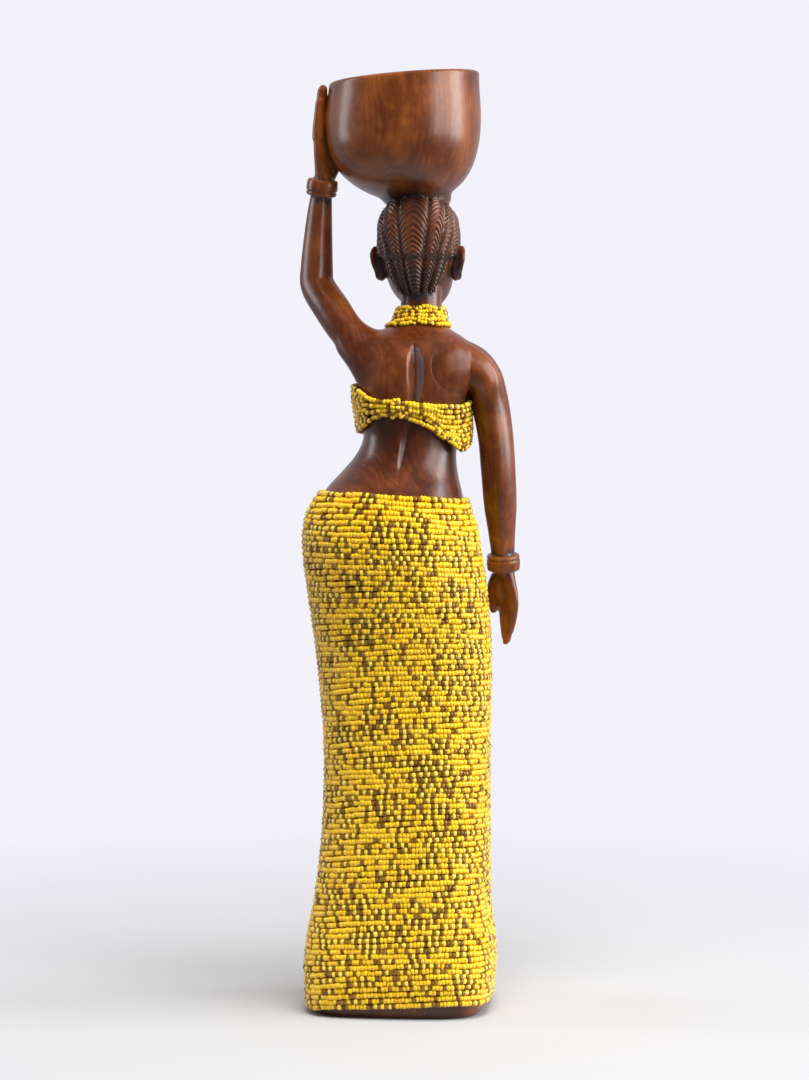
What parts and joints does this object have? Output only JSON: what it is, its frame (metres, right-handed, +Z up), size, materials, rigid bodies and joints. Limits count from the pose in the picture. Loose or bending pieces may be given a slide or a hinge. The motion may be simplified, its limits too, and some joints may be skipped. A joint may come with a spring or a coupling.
{
  "type": "calabash bearer statuette",
  "caption": "Slender carved wood figure that steadies a calabash bowl on its head with a raised hand, dressed in a beaded wrap, a bead bandeau and a bead collar.",
  "frame": {"origin": "middle of the flat underside of the base, on the surface the statuette stands on", "axes": "+Z up from the base to the rim of the bowl, +Y out of the figure's back, +X to the figure's left, the side of its raised arm"},
  "size_m": [0.0924, 0.0755, 0.3955],
  "materials": {
    "polished_wood": "red-brown stain with darker and lighter grain, waxed and polished to a soft gloss",
    "yellow_glass_beads": "opaque glossy yellow glass seed beads strung close together, with single dark bronze ones among them",
    "bronze_glass_beads": "metallic dark bronze glass seed beads strung among the yellow ones"
  },
  "bodies": {
    "root": {"carved_figure": "polished_wood", "beaded_skirt": "yellow_glass_beads", "beaded_bandeau": "yellow_glass_beads", "beaded_choker": "yellow_glass_beads"}
  },
  "joints": []
}
